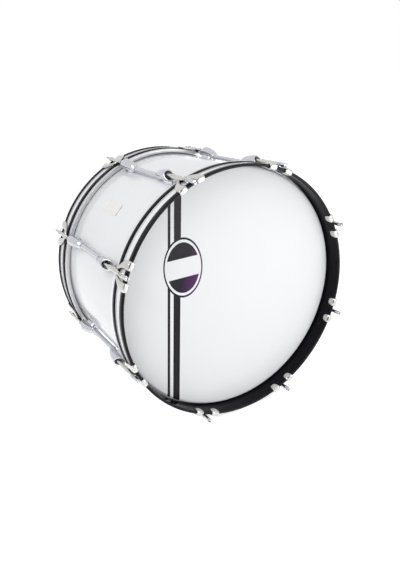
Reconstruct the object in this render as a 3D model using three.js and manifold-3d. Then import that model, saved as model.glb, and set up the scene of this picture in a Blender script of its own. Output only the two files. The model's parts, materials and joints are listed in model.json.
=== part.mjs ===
import * as THREE from "three";
import { mergeVertices } from "three/addons/utils/BufferGeometryUtils.js";
import Module from "manifold-3d";

// Marching bass drum. Millimetres, +Z up, the drum's axis along Y and its batter side facing -Y.
// The origin is the centre of the drum.

// Shell
const shell_diameter = 504.8;
const shell_depth = 304.8;
const shell_wall = 6.2;
const bearing_round = 2.5;
const bearing_chamfer = 3.2;
const reinforcing_depth = 28;
const reinforcing_wall = 5;
const reinforcing_bevel = 4;
const glue_gap = 0.3;

// Heads
const film = 0.6;
const film_seat_gap = 0.3;
const film_shoulder_drop = 3.4;
const film_edge_gap = 0.5;

// Flesh hoops
const flesh_clearance = 1.6;
const flesh_inner_wall = 1.6;
const flesh_slot = 1.6;
const flesh_outer_wall = 4.8;
const flesh_depth = 12;
const flesh_slot_depth = 7;
const flesh_drop = 8.3;

// Counter hoops
const hoop_film_clearance = 1.3;
const hoop_wall = 6;
const hoop_depth = 43;
const hoop_seat_gap = 0.3;
const hoop_edge_round = 2.2;
const inlay_offset = 10.2;
const inlay_width = 22.6;
const inlay_recess = 1.8;
const inlay_depth = 1.2;
const inlay_gap = 0.1;

// Tension rods
const rod_count = 8;
const rod_diameter = 5.6;
const rod_running_gap = 0.3;
const rod_engagement = 13;
const collar_diameter = 10.6;
const collar_thickness = 3.4;
const neck_diameter = 6.4;
const neck_length = 2.2;
const grip_diameter = 8.4;
const grip_length = 21;
const grip_slot_width = 2.6;
const grip_slot_depth = 7;
const rod_seat_gap = 0.3;

// Claws
const boss_diameter = 9.4;
const boss_length = 57;
const boss_setback = 9;
const boss_hoop_gap = 0.8;
const claw_gap = 0.3;
const claw_plate = 3.2;
const claw_reach = 40;
const claw_root_width = 12;
const hook_spacing = 40.4;
const hook_width = 17;
const hook_lip_length = 14.5;
const hook_lip_thickness = 2.8;
const hook_web_thickness = 3;
const hook_corner = 3;
const hook_shoulder = 17;
const window_width = 12;
const window_length = 34;

// Lugs
const lug_setback = 68;
const lug_tube_diameter = 10.4;
const lug_tube_height = 7.8;
const bell_length = 64;
const bell_mouth_diameter = 22.4;
const bell_mouth_height = 16;
const bell_wall = 2.2;
const bell_slant = 24;
const bell_cavity_depth = 44;
const foot_width = 18;
const foot_length = 40;
const foot_thickness = 6;
const foot_inset = 8;
const nut_diameter = 9.6;
const nut_length = 15;
const lug_seat_gap = 0.3;

// Badge and vent
const badge_length = 68;
const badge_width = 27;
const badge_thickness = 0.9;
const badge_offset = 11;
const vent_hole_diameter = 12.4;
const vent_barrel_gap = 0.3;
const vent_bore_diameter = 8;
const vent_flange_diameter = 21;
const vent_flange_thickness = 1.4;
const vent_tail = 1.6;

// One overrun for every cut.
const overrun = 2;

// Facets
const ring_segments = 48;
const rod_segments = 8;
const tube_segments = 10;
const bell_segments = 8;
const vent_segments = 16;
const arc_segments = 3;
const weld = 0.0005;

// The first lug stands this far round from +X, so that two of them straddle the lowest point.
const lug_spacing = (2 * Math.PI) / rod_count;
const first_lug_angle = lug_spacing / 2;
const badge_angle = 3 * lug_spacing;
const vent_angle = 0;

// Sizes that follow from the driving dimensions
const shell_radius = shell_diameter / 2;
const shell_inner = shell_radius - shell_wall;
const shell_edge = shell_depth / 2;
const film_face = shell_edge + film_seat_gap + film;
const flesh_inner = shell_radius + flesh_clearance;
const slot_inner = flesh_inner + flesh_inner_wall;
const slot_outer = slot_inner + flesh_slot;
const flesh_outer = slot_outer + flesh_outer_wall;
const flesh_top = shell_edge - flesh_drop;
const skirt_inner = slot_inner + (flesh_slot - film) / 2;
const skirt_outer = skirt_inner + film;
const hoop_inner = skirt_outer + hoop_film_clearance;
const hoop_outer = hoop_inner + hoop_wall;
const hoop_base = flesh_top + hoop_seat_gap;
const free_edge = hoop_base + hoop_depth;
const inlay_outer_face = free_edge - inlay_offset;
const rod_radius = rod_diameter / 2;
const boss_radius = boss_diameter / 2;
const rod_circle = hoop_outer + boss_hoop_gap + boss_radius;
const boss_end = free_edge - boss_setback;
const lug_end = free_edge - lug_setback;
const nut_end = lug_end - bell_cavity_depth + nut_length;
const rod_end = nut_end - rod_engagement;

const chrome = { color: 0xd6d8dc, roughness: 0.12, metalness: 1 };
const finishes = {
  shell: { color: 0xf1f2f4, roughness: 0.15, metalness: 0 },
  wood: { color: 0xc8a878, roughness: 0.6, metalness: 0 },
  head: { color: 0xe9ebec, roughness: 0.45, metalness: 0 },
  flesh: { color: 0xa9abae, roughness: 0.35, metalness: 1 },
  hoop: { color: 0x1c1a1e, roughness: 0.35, metalness: 0 },
  inlay: { color: 0xf3f3f4, roughness: 0.25, metalness: 0 },
  badge: { color: 0xe4e1d6, roughness: 0.3, metalness: 0.4 },
  chrome,
};

const wasm = await Module();
wasm.setup();

function toSolid(geometry) {
  const bare = geometry.index ? geometry.clone() : geometry;
  bare.deleteAttribute("normal");
  bare.deleteAttribute("uv");
  const merged = mergeVertices(bare, weld);
  const triangles = [];
  const source = merged.index.array;
  for (let i = 0; i < source.length; i += 3) {
    const [a, b, c] = [source[i], source[i + 1], source[i + 2]];
    if (a !== b && b !== c && c !== a) {
      triangles.push(a, b, c);
    }
  }
  const vertProperties = new Float32Array(merged.attributes.position.array);
  const triVerts = new Uint32Array(triangles);
  return new wasm.Manifold(new wasm.Mesh({ numProp: 3, vertProperties, triVerts }));
}

function toGeometry(solid) {
  const mesh = solid.getMesh();
  const geometry = new THREE.BufferGeometry();
  geometry.setAttribute("position", new THREE.BufferAttribute(new Float32Array(mesh.vertProperties), 3));
  geometry.setIndex(new THREE.BufferAttribute(new Uint32Array(mesh.triVerts), 1));
  geometry.computeVertexNormals();
  return geometry;
}

// Revolves [radius, y] points about Y. The points run so that the faces point out.
function revolve(points, segments, start) {
  let area = 0;
  for (let i = 0; i < points.length; i += 1) {
    const [x0, y0] = points[i];
    const [x1, y1] = points[(i + 1) % points.length];
    area += x0 * y1 - x1 * y0;
  }
  const ordered = area > 0 ? points : [...points].reverse();
  const profile = ordered.map(([x, y]) => new THREE.Vector2(x, y));
  const onAxis = points[0][0] === 0;
  if (!onAxis) {
    profile.push(profile[0].clone());
  }
  return new THREE.LatheGeometry(profile, segments, start);
}

// A ring about the drum's axis. Its facets touch the true circles, and one is centred at the lowest point.
function ring(points) {
  const reach = 1 / Math.cos(Math.PI / ring_segments);
  const outlined = points.map(([radius, y]) => [radius * reach, y]);
  return revolve(outlined, ring_segments, Math.PI / ring_segments);
}

// A plain round bar along Y.
function bar(radius, from, to, segments) {
  return revolve([[0, from], [radius, from], [radius, to], [0, to]], segments, Math.PI / segments);
}

// The running bore that a tension rod passes through, with its facets clear of the rod all round.
function rodBore(from, to) {
  const clear = (rod_radius + rod_running_gap) / Math.cos(Math.PI / rod_segments);
  const bore = bar(clear, from, to, rod_segments);
  bore.translate(0, 0, rod_circle);
  return bore;
}

function mesh(name, geometry, finish) {
  const made = new THREE.Mesh(geometry, new THREE.MeshStandardMaterial(finish));
  made.name = name;
  return made;
}

const drum = new THREE.Group();

// The two sides are alike: "front" faces -Y and "rear" faces +Y.
const sides = [["front", -1], ["rear", 1]];

function mirrored(points, side) {
  return points.map(([x, y]) => [x, y * side]);
}

function shellProfile() {
  const crest = shell_radius - bearing_round;
  const rim = [
    [shell_inner, shell_edge - bearing_chamfer],
    [crest, shell_edge],
    [shell_radius, shell_edge - bearing_round],
  ];
  return [...rim, ...mirrored(rim, -1).reverse()];
}

function ventHole() {
  const hole = bar(vent_hole_diameter / 2, shell_inner - overrun, shell_radius + overrun, vent_segments);
  hole.rotateX(Math.PI / 2);
  hole.rotateY(Math.PI / 2 - vent_angle);
  return hole;
}

function addShell() {
  const wall = toSolid(ring(shellProfile()));
  const drilled = wall.subtract(toSolid(ventHole()));
  drum.add(mesh("shell", toGeometry(drilled), finishes.shell));
}

function addReinforcingRing(label, side) {
  const outer = shell_inner - glue_gap;
  const inner = outer - reinforcing_wall;
  const top = shell_edge - bearing_chamfer;
  const bottom = top - reinforcing_depth;
  const profile = [
    [outer, top],
    [outer, bottom],
    [inner, bottom + reinforcing_bevel],
    [inner, top - reinforcing_bevel],
  ];
  drum.add(mesh(`${label}_reinforcing_ring`, ring(mirrored(profile, side)), finishes.wood));
}

function addHead(label, side) {
  const under = shell_edge + film_seat_gap;
  const crest = shell_radius - bearing_round;
  const skirt_end = flesh_top - flesh_slot_depth + film_edge_gap;
  const shoulder = under - film_shoulder_drop;
  const profile = [
    [0, under],
    [crest, under],
    [skirt_inner, shoulder],
    [skirt_inner, skirt_end],
    [skirt_outer, skirt_end],
    [skirt_outer, shoulder + film],
    [crest + film, film_face],
    [0, film_face],
  ];
  drum.add(mesh(`${label}_head`, ring(mirrored(profile, side)), finishes.head));
}

function addFleshHoop(label, side) {
  const bottom = flesh_top - flesh_depth;
  const slot_floor = flesh_top - flesh_slot_depth;
  const profile = [
    [flesh_inner, bottom],
    [flesh_outer, bottom],
    [flesh_outer, flesh_top],
    [slot_outer, flesh_top],
    [slot_outer, slot_floor],
    [slot_inner, slot_floor],
    [slot_inner, flesh_top],
    [flesh_inner, flesh_top],
  ];
  drum.add(mesh(`${label}_flesh_hoop`, ring(mirrored(profile, side)), finishes.flesh));
}

// A quarter of the free edge's rounding, about a centre, as points of radius and y.
function quarterRound(centre_radius, centre_y, start) {
  const steps = [0, 1, 2];
  return steps.map((step) => {
    const angle = start + (step * Math.PI) / 4;
    return [centre_radius + hoop_edge_round * Math.cos(angle), centre_y + hoop_edge_round * Math.sin(angle)];
  });
}

function addHoop(label, side) {
  const groove_outer = inlay_outer_face + inlay_gap;
  const groove_inner = inlay_outer_face - inlay_width - inlay_gap;
  const groove_floor = hoop_outer - inlay_recess - inlay_depth - inlay_gap;
  const round_start = free_edge - hoop_edge_round;
  const profile = [
    [hoop_inner, hoop_base],
    [hoop_outer, hoop_base],
    [hoop_outer, groove_inner],
    [groove_floor, groove_inner],
    [groove_floor, groove_outer],
    [hoop_outer, groove_outer],
    ...quarterRound(hoop_outer - hoop_edge_round, round_start, 0),
    ...quarterRound(hoop_inner + hoop_edge_round, round_start, Math.PI / 2),
  ];
  drum.add(mesh(`${label}_hoop`, ring(mirrored(profile, side)), finishes.hoop));
}

function addInlay(label, side) {
  const face = hoop_outer - inlay_recess;
  const floor = face - inlay_depth;
  const profile = [
    [floor, inlay_outer_face],
    [face, inlay_outer_face],
    [face, inlay_outer_face - inlay_width],
    [floor, inlay_outer_face - inlay_width],
  ];
  drum.add(mesh(`${label}_hoop_inlay`, ring(mirrored(profile, side)), finishes.inlay));
}

// A station is a group turned about the drum's axis, so that its own +Z points away from the axis.
function station(angle) {
  const turned = new THREE.Group();
  turned.rotation.y = Math.PI / 2 - angle;
  drum.add(turned);
  return turned;
}

// Everything at a station is drawn for the +Y side. Turning it half way round Z gives the -Y side.
function place(piece, parent, side) {
  piece.rotation.z = side > 0 ? 0 : Math.PI;
  parent.add(piece);
}

function rodProfile() {
  const collar_foot = boss_end + rod_seat_gap;
  const collar_top = collar_foot + collar_thickness;
  const grip_foot = collar_top + neck_length;
  const tip = grip_foot + grip_length;
  return [
    [0, rod_end],
    [rod_radius, rod_end],
    [rod_radius, collar_foot],
    [collar_diameter / 2, collar_foot],
    [collar_diameter / 2, collar_top],
    [neck_diameter / 2, collar_top],
    [grip_diameter / 2, grip_foot],
    [grip_diameter / 2, tip],
    [0, tip],
  ];
}

function rodGeometry() {
  const profile = rodProfile();
  const tip = profile[profile.length - 1][1];
  const slot_length = grip_slot_depth + overrun;
  const slot = new THREE.BoxGeometry(grip_diameter + overrun, slot_length, grip_slot_width);
  slot.translate(0, tip - grip_slot_depth + slot_length / 2, 0);
  const turned = toSolid(revolve(profile, rod_segments, 0));
  const cut = turned.subtract(toSolid(slot));
  const geometry = toGeometry(cut);
  geometry.translate(0, 0, rod_circle);
  return geometry;
}

// The hoop's section with the running gap round it. It cuts the claw where the hoop passes.
function hoopClearance() {
  const inner = hoop_inner - claw_gap;
  const outer = hoop_outer + claw_gap;
  const inboard = hoop_base - overrun;
  const outboard = free_edge + claw_gap;
  return toSolid(ring([[inner, inboard], [outer, inboard], [outer, outboard], [inner, outboard]]));
}

function extrudeOutward(shape, from, to) {
  const block = new THREE.ExtrudeGeometry(shape, { depth: to - from, bevelEnabled: false, curveSegments: arc_segments });
  block.translate(0, 0, from);
  return block;
}

// Seen from outside the drum: a root under the boss, and two arms that spread to the hooks.
function armOutline() {
  const root = claw_root_width / 2;
  const far = free_edge - claw_reach;
  const shoulder = free_edge - hook_shoulder;
  const toe = free_edge + claw_gap + hook_web_thickness;
  const outside = hook_spacing / 2 + hook_width / 2;
  const notch = window_width / 2;
  const notch_foot = free_edge - window_length;
  const shape = new THREE.Shape();
  shape.moveTo(-root, far);
  shape.lineTo(root, far);
  shape.lineTo(outside, shoulder);
  shape.lineTo(outside, toe);
  shape.lineTo(outside - hook_width, toe);
  shape.lineTo(outside - hook_width, shoulder);
  shape.lineTo(notch, notch_foot);
  shape.lineTo(-notch, notch_foot);
  shape.lineTo(hook_width - outside, shoulder);
  shape.lineTo(hook_width - outside, toe);
  shape.lineTo(-outside, toe);
  shape.lineTo(-outside, shoulder);
  shape.closePath();
  return shape;
}

// A hook seen from outside: square where it crosses the hoop's free edge, round at its lip.
function hookOutline(centre) {
  const toe = free_edge + claw_gap + hook_web_thickness;
  const half = hook_width / 2;
  const shape = new THREE.Shape();
  shape.moveTo(centre + half, free_edge);
  shape.lineTo(centre + half, toe - hook_corner);
  shape.lineTo(centre + half - hook_corner, toe);
  shape.lineTo(centre - half + hook_corner, toe);
  shape.lineTo(centre - half, toe - hook_corner);
  shape.lineTo(centre - half, free_edge);
  shape.absellipse(centre, free_edge, half, hook_lip_length, Math.PI, 2 * Math.PI, false, 0);
  return shape;
}

// How far a wall of the hoop drops between the claw's middle and the middle of a hook.
function hoopSag(radius) {
  return radius - Math.sqrt(radius ** 2 - (hook_spacing / 2) ** 2);
}

function clawGeometry() {
  const plate_top = hoop_outer + claw_gap + claw_plate;
  const lip_top = hoop_inner - claw_gap - hoopSag(hoop_inner);
  const lip_floor = lip_top - hook_lip_thickness;
  const boss_start = boss_end - boss_length;
  const boss = bar(boss_radius, boss_start, boss_end, tube_segments);
  boss.translate(0, 0, rod_circle);
  let claw = toSolid(extrudeOutward(armOutline(), hoop_inner, plate_top));
  for (const hand of [-1, 1]) {
    const hook = extrudeOutward(hookOutline((hand * hook_spacing) / 2), lip_floor, plate_top);
    claw = claw.add(toSolid(hook));
  }
  claw = claw.subtract(hoopClearance());
  claw = claw.add(toSolid(boss));
  claw = claw.subtract(toSolid(rodBore(boss_start - overrun, boss_end + overrun)));
  return toGeometry(claw);
}

// Joins equal rings of points, each round its own centre, into a closed body along Y.
function loft(sections, segments) {
  const positions = [];
  const index = [];
  for (const { y, radius, height } of sections) {
    for (let i = 0; i < segments; i += 1) {
      const turn = (2 * Math.PI * (i + 0.5)) / segments;
      positions.push(radius * Math.sin(turn), y, height + radius * Math.cos(turn));
    }
  }
  const last = (sections.length - 1) * segments;
  for (let s = 0; s < last; s += segments) {
    for (let i = 0; i < segments; i += 1) {
      const next = (i + 1) % segments;
      index.push(s + i, s + next, s + segments + i);
      index.push(s + next, s + segments + next, s + segments + i);
    }
  }
  for (let i = 1; i < segments - 1; i += 1) {
    index.push(0, i + 1, i);
    index.push(last, last + i, last + i + 1);
  }
  const geometry = new THREE.BufferGeometry();
  geometry.setAttribute("position", new THREE.Float32BufferAttribute(positions, 3));
  geometry.setIndex(index);
  return geometry;
}

// The bell swells from the tube to its mouth. The shares say how far along and how much it has grown.
const bell_along_shares = [0, 0.3, 0.62, 1];
const bell_growth_shares = [0, 0.64, 0.92, 1];

function bellSections(inset, start, end) {
  const tube_radius = lug_tube_diameter / 2;
  const mouth_radius = bell_mouth_diameter / 2;
  return bell_along_shares.map((along, i) => {
    const growth = bell_growth_shares[i];
    return {
      y: start + (end - start) * along,
      radius: tube_radius + (mouth_radius - tube_radius) * growth - inset,
      height: shell_radius + lug_tube_height + (bell_mouth_height - lug_tube_height) * growth,
    };
  });
}

// The mouth is cut on a slant: the side by the shell reaches further than the outer side.
function slantCut() {
  const across = bell_mouth_diameter + 2 * overrun;
  const near = shell_radius + bell_mouth_height - across / 2;
  const far = near + across;
  const shape = new THREE.Shape();
  shape.moveTo(lug_end, near);
  shape.lineTo(lug_end - bell_slant, far);
  shape.lineTo(lug_end + overrun, far);
  shape.lineTo(lug_end + overrun, near);
  shape.closePath();
  const wedge = new THREE.ExtrudeGeometry(shape, { depth: across, bevelEnabled: false });
  wedge.translate(0, 0, -across / 2);
  // The shape was drawn as (y, z) and extruded across: put its axes in place.
  wedge.applyMatrix4(new THREE.Matrix4().set(0, 0, 1, 0, 1, 0, 0, 0, 0, 1, 0, 0, 0, 0, 0, 1));
  return wedge;
}

function footBlock() {
  const foot_end = lug_end - foot_inset;
  const half = foot_width / 2;
  const shape = new THREE.Shape();
  shape.absellipse(0, foot_end - foot_length / 2, half, foot_length / 2, 0, 2 * Math.PI, false, 0);
  const options = { depth: 2 * foot_thickness, bevelEnabled: false, curveSegments: arc_segments };
  const pad = new THREE.ExtrudeGeometry(shape, options);
  pad.translate(0, 0, shell_radius - foot_thickness);
  return pad;
}

function lugEnd() {
  const start = lug_end - bell_length;
  const body = toSolid(loft(bellSections(0, start, lug_end), bell_segments));
  const cavity_start = lug_end - bell_cavity_depth;
  const cavity = loft(cavitySections(cavity_start), bell_segments);
  const nut = bar(nut_diameter / 2, cavity_start - overrun, nut_end, bell_segments);
  nut.translate(0, 0, rod_circle);
  let end = body.add(toSolid(footBlock()));
  end = end.subtract(toSolid(cavity));
  end = end.add(toSolid(nut));
  end = end.subtract(toSolid(rodBore(rod_end - overrun, nut_end + overrun)));
  return end.subtract(toSolid(slantCut()));
}

function cavitySections(start) {
  const whole = bellSections(bell_wall, lug_end - bell_length, lug_end);
  const kept = whole.filter((section) => section.y > start + bell_wall);
  const floor = { ...kept[0], y: start };
  const mouth = { ...kept[kept.length - 1], y: lug_end + overrun };
  return [floor, ...kept, mouth];
}

function shellClearance() {
  const outer = shell_radius + lug_seat_gap;
  const half = free_edge;
  return toSolid(ring([[0, -half], [outer, -half], [outer, half], [0, half]]));
}

function lugGeometry() {
  const inner = lug_end - bell_length + bell_wall;
  const tube = bar(lug_tube_diameter / 2, -inner, inner, bell_segments);
  tube.translate(0, 0, shell_radius + lug_tube_height);
  const end = lugEnd();
  const other = toGeometry(end);
  other.rotateZ(Math.PI);
  const lug = toSolid(tube).add(end).add(toSolid(other));
  return toGeometry(lug.subtract(shellClearance()));
}

function addStations() {
  const lug_geometry = lugGeometry();
  const claw_geometry = clawGeometry();
  const rod_geometry = rodGeometry();
  for (let i = 0; i < rod_count; i += 1) {
    const here = station(first_lug_angle + i * lug_spacing);
    place(mesh(`lug_${i + 1}`, lug_geometry, finishes.chrome), here, 1);
    for (const [label, side] of sides) {
      place(mesh(`claw_${label}_${i + 1}`, claw_geometry, finishes.chrome), here, side);
      place(mesh(`tension_rod_${label}_${i + 1}`, rod_geometry, finishes.chrome), here, side);
    }
  }
}

// A thin plate that follows the shell's curve.
function addBadge() {
  const face = shell_radius + lug_seat_gap;
  const half = badge_length / 2;
  const top = badge_offset + half + overrun;
  const bottom = badge_offset - half - overrun;
  const sleeve = ring([[face, bottom], [face + badge_thickness, bottom], [face + badge_thickness, top], [face, top]]);
  const block = new THREE.BoxGeometry(badge_width, badge_length, badge_width);
  block.translate(0, badge_offset, shell_radius);
  const plate = toSolid(sleeve).intersect(toSolid(block));
  station(badge_angle).add(mesh("badge", toGeometry(plate), finishes.badge));
}

function addVentGrommet() {
  const barrel = vent_hole_diameter / 2 - vent_barrel_gap;
  const bore = vent_bore_diameter / 2;
  const seat = shell_radius + lug_seat_gap;
  const profile = [
    [bore, shell_inner - vent_tail],
    [barrel, shell_inner - vent_tail],
    [barrel, seat],
    [vent_flange_diameter / 2, seat],
    [vent_flange_diameter / 2, seat + vent_flange_thickness],
    [bore, seat + vent_flange_thickness],
  ];
  const grommet = revolve(profile, vent_segments, 0);
  grommet.rotateX(Math.PI / 2);
  station(vent_angle).add(mesh("vent_grommet", grommet, finishes.chrome));
}

addShell();
for (const [label, side] of sides) {
  addReinforcingRing(label, side);
  addHead(label, side);
  addFleshHoop(label, side);
  addHoop(label, side);
  addInlay(label, side);
}
addStations();
addBadge();
addVentGrommet();

export default drum;
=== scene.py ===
import json
from itertools import pairwise
from math import atan2, cos, hypot, pi, radians, sin, tan

import bpy
from mathutils import Matrix, Vector


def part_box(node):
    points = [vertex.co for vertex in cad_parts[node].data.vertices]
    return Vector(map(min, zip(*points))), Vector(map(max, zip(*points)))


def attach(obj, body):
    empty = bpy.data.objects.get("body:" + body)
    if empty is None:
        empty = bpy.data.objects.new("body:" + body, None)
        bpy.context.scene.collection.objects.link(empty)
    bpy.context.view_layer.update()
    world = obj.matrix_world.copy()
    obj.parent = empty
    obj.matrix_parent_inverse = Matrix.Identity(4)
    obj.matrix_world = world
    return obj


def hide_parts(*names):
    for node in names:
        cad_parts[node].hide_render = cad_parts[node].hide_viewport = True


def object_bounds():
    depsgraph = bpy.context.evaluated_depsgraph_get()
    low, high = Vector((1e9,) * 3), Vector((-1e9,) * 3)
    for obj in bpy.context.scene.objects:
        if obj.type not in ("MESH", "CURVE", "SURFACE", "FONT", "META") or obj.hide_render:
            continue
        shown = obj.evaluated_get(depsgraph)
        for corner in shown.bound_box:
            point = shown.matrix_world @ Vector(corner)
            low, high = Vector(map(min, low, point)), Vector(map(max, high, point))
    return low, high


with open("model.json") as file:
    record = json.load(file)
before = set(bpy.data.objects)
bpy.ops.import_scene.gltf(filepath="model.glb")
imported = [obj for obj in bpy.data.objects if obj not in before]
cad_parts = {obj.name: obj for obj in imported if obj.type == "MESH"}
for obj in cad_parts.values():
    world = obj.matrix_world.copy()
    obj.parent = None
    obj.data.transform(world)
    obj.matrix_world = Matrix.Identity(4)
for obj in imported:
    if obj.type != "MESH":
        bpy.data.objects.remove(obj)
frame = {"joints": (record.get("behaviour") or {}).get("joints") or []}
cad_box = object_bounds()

# The marching bass drum's finished look. Metres, +Y along the drum's axis, its batter side facing -Y.


def far_corner(node):
    """A node's highest corner at rest. On a ring its z is the ring's true radius."""
    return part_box(node)[1]


def near_corner(node):
    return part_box(node)[0]


# Sizes that come from the frame
shell_radius = far_corner("shell").z
shell_edge = far_corner("shell").y
skirt_radius = far_corner("rear_head").z
film_face = far_corner("rear_head").y
flesh_radius = far_corner("rear_flesh_hoop").z
flesh_top = far_corner("rear_flesh_hoop").y
flesh_bottom = near_corner("rear_flesh_hoop").y
hoop_radius = far_corner("rear_hoop").z
free_edge = far_corner("rear_hoop").y
hoop_base = near_corner("rear_hoop").y
inlay_radius = far_corner("rear_hoop_inlay").z
inlay_outer_edge = far_corner("rear_hoop_inlay").y
inlay_inner_edge = near_corner("rear_hoop_inlay").y
ply_radius = far_corner("rear_reinforcing_ring").z
ply_top = far_corner("rear_reinforcing_ring").y
ply_bottom = near_corner("rear_reinforcing_ring").y
boss_start = near_corner("claw_rear_1").y
rod_tip = far_corner("tension_rod_rear_1").y
rod_end = near_corner("tension_rod_rear_1").y
floor_level = cad_box[0].z

turn_joints = {joint["child"]: joint for joint in frame["joints"]}
first_rod = turn_joints["tension_rod_front_1"]["pos_m"]
rod_circle = hypot(first_rod[0], first_rod[2])
stations = range(1, len(turn_joints) // 2 + 1)
sides = {"front": -1, "rear": 1}

# Shell, heads and hoops
shell_wall = 0.0062
bearing_round = 0.0025
bearing_drop = 0.0032
film = 0.0006
film_centre = 0.02
skirt_drop = 0.0152
flesh_inner = 0.2540
flesh_lip = 0.0016
flesh_slot = 0.0016
flesh_slot_depth = 0.007
hoop_wall = 0.006
free_edge_round = 0.0026
base_round = 0.0010
inlay_seam = 0.0001
inlay_thickness = 0.0012
ply_wall = 0.005
ply_bevel = 0.004

# Lugs
tube_radius = 0.0052
tube_height = 0.0078
socket_radius = 0.0066
socket_step = 0.0009
bell_start = 0.0554
bell_end = 0.1194
bell_radius = 0.0112
bell_height = 0.0160
bell_wall = 0.0022
bell_slant = 0.024
cavity_floor = 0.0754
floor_round = 0.0016
nut_radius = 0.0048
nut_top = 0.0904
foot_centre = 0.0914

# Claws and rods
boss_radius = 0.0047
boss_end = free_edge - 0.009
bore_radius = 0.0031
claw_gap = 0.0003
plate_side = 0.0026
web_side = 0.0025
lip_side = 0.0020
dome_steps = [(0.0017, 0.0008), (0.0015, 0.0004)]
hook_centre = 0.0202
hook_half_width = 0.0091
lip_length = 0.0150
lip_bluntness = 2.6
lip_shares = (0.35, 0.65, 0.85, 0.97)
pad_length = 0.0173
# From the pad to the root: distance from the claw's middle, width, y, lift and growth in thickness
arm_steps = [(0.0178, 0.0150, 0.1655, 0, 1),
             (0.0140, 0.0118, 0.1600, 0, 1),
             (0.0098, 0.0096, 0.1545, 0.0002, 1.1),
             (0.0060, 0.0084, 0.1495, 0.0006, 1.15),
             (0.0030, 0.0070, 0.1455, 0.0008, 1.05)]
rod_radius = 0.0028
thread_pitch = 0.001
thread_depth = 0.0004
seat_gap = 0.0003

# Steps round a circle
ring_steps = 256
boss_steps = 32
rod_steps = 24
bell_steps = 40
nut_steps = 6
eyelet_steps = 48
floor_steps = 64
thread_steps = 14

# Points closer than the first are merged, and places closer than the second are the same
merge_distance = 1e-6
same_place = 1e-5


def arc(centre, radii, start, end, steps):
    """Points of an elliptical arc, from one angle to another, in degrees."""
    turns = [radians(start + (end - start) * i / steps) for i in range(steps + 1)]
    return [(centre[0] + radii[0] * cos(t), centre[1] + radii[1] * sin(t)) for t in turns]


def active():
    return bpy.context.object


def edit(select="VERT"):
    bpy.context.tool_settings.mesh_select_mode = [kind == select for kind in ("VERT", "EDGE", "FACE")]
    bpy.ops.object.mode_set(mode="EDIT")


def leave_edit():
    bpy.ops.object.mode_set(mode="OBJECT")


def apply_place():
    bpy.ops.object.transform_apply(location=True, rotation=True, scale=True)


def pick(piece):
    """Makes a piece the active one and the only one selected."""
    bpy.ops.object.select_all(action="DESELECT")
    piece.select_set(True)
    bpy.context.view_layer.objects.active = piece


def start_loop(centre, half_widths, axis, steps, capped):
    """Adds a circle square to an axis and leaves its outer loop selected in edit mode."""
    bpy.ops.object.select_all(action="DESELECT")
    turn = (pi / 2, 0, 0) if axis == "Y" else (0, 0, 0)
    fill = "TRIFAN" if capped else "NOTHING"
    bpy.ops.mesh.primitive_circle_add(vertices=steps, radius=1, fill_type=fill, location=centre,
                                      rotation=turn)
    active().scale = (*half_widths, 1)
    apply_place()
    edit()
    bpy.ops.mesh.select_all(action="SELECT")
    if capped:
        bpy.ops.mesh.region_to_loop()


def extrude_loops(loops, axis):
    """Extrudes the selected loop to each next one. A loop is its centre and its two half widths."""
    for (centre, size), (next_centre, next_size) in pairwise(loops):
        step = Vector(next_centre) - Vector(centre)
        bpy.ops.mesh.extrude_region_move(TRANSFORM_OT_translate={"value": step})
        growth = (next_size[0] / size[0], next_size[1] / size[1])
        if growth != (1, 1):
            value = (growth[0], 1, growth[1]) if axis == "Y" else (growth[0], growth[1], 1)
            bpy.ops.transform.resize(value=value, center_override=next_centre)


def finish_mesh(name):
    """Merges doubles, turns the faces outwards and names the piece."""
    bpy.ops.mesh.select_all(action="SELECT")
    bpy.ops.mesh.remove_doubles(threshold=merge_distance)
    bpy.ops.mesh.normals_make_consistent(inside=False)
    leave_edit()
    active().name = name
    return active()


def turned_loops(outline, height=0):
    """Loops about the drum's axis, or a line above it, from points of radius and y."""
    return [((0, y, height), (radius, radius)) for radius, y in outline]


def turned_ring(name, outline, steps=ring_steps, height=0):
    """A closed ring about a line along the drum. Its last loop is bridged to its first."""
    loops = turned_loops(outline, height)
    start_loop(*loops[0], "Y", steps, capped=False)
    extrude_loops(loops, "Y")
    bpy.ops.mesh.select_all(action="DESELECT")
    bpy.ops.mesh.select_non_manifold()
    bpy.ops.mesh.bridge_edge_loops()
    return finish_mesh(name)


def turned_solid(name, loops, axis, steps):
    """A solid with a closed cap at each end."""
    start_loop(*loops[0], axis, steps, capped=True)
    extrude_loops(loops, axis)
    bpy.ops.mesh.extrude_region_move(TRANSFORM_OT_translate={"value": (0, 0, 0)})
    bpy.ops.mesh.merge(type="CENTER")
    return finish_mesh(name)


def use_modifier(piece, kind, **settings):
    modifier = piece.modifiers.new(kind.title(), kind)
    for setting, value in settings.items():
        setattr(modifier, setting, value)
    bpy.context.view_layer.objects.active = piece
    bpy.ops.object.modifier_apply(modifier=modifier.name)


def round_edges(piece, width, segments, angle=35):
    use_modifier(piece, "BEVEL", width=width, segments=segments, limit_method="ANGLE",
                 angle_limit=radians(angle), use_clamp_overlap=True)


def clear_selection(piece):
    """Picks a piece and deselects every part of its mesh."""
    pick(piece)
    edit()
    bpy.ops.mesh.select_all(action="DESELECT")
    leave_edit()


def wrap_round(piece, radius):
    """Bends a piece that was drawn flat at a height above the axis, so that it follows the drum's curve."""
    lie_down = Matrix.Rotation(pi / 2, 4, "X") @ Matrix.Translation((0, 0, -radius))
    piece.data.transform(lie_down)
    across = [vertex.co.x for vertex in piece.data.vertices]
    angle = (max(across) - min(across)) / radius
    use_modifier(piece, "SIMPLE_DEFORM", deform_method="BEND", deform_axis="Z", angle=angle)
    piece.data.transform(lie_down.inverted())


def smooth(piece, angle=40):
    pick(piece)
    bpy.ops.object.shade_smooth_by_angle(angle=radians(angle))


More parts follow.
